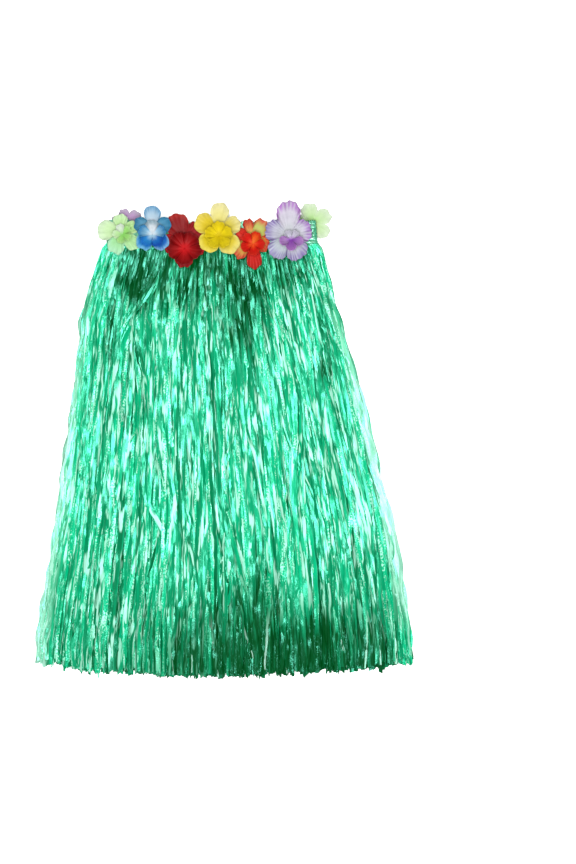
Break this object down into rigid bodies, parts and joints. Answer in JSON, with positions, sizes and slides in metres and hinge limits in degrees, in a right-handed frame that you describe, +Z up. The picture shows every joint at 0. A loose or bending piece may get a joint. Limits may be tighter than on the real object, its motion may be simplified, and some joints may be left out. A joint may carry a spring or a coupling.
{
  "type": "hula skirt",
  "caption": "Hula skirt laid flat: woven elastic waistband, glossy film strands in layered rows, and fabric flowers stitched round the band.",
  "frame": {"origin": "middle of the skirt's footprint, on the surface that it lies on", "axes": "+Y from the hem to the waistband, +X to the right as seen from above, +Z up out of the surface"},
  "size_m": [0.489, 0.6354, 0.03],
  "materials": {
    "band_braid": "woven elastic with a metallic thread",
    "film_strand": "crinkled glossy film, slightly see-through",
    "petal_lime": "pressed polyester petal, satin",
    "petal_blue": "pressed polyester petal, satin",
    "petal_red": "pressed polyester petal, satin",
    "petal_yellow": "pressed polyester petal, satin",
    "petal_orange": "pressed polyester petal, satin",
    "petal_violet": "pressed polyester petal, satin",
    "petal_lilac": "pressed polyester petal, satin"
  },
  "bodies": {
    "root": {"waistband": "band_braid", "strands_back_outer": "film_strand", "strands_back_inner": "film_strand", "strands_front_inner": "film_strand", "strands_front_outer": "film_strand", "flower_lime_petals": "petal_lime", "flower_lime_cup": "petal_lime", "flower_blue_petals": "petal_blue", "flower_blue_cup": "petal_blue", "flower_red_petals": "petal_red", "flower_red_cup": "petal_red", "flower_yellow_petals": "petal_yellow", "flower_yellow_cup": "petal_yellow", "flower_orange_petals": "petal_orange", "flower_orange_cup": "petal_orange", "flower_violet_petals": "petal_violet", "flower_violet_cup": "petal_violet", "flower_back_lilac_petals": "petal_lilac", "flower_back_lime_petals": "petal_lime"}
  },
  "joints": []
}
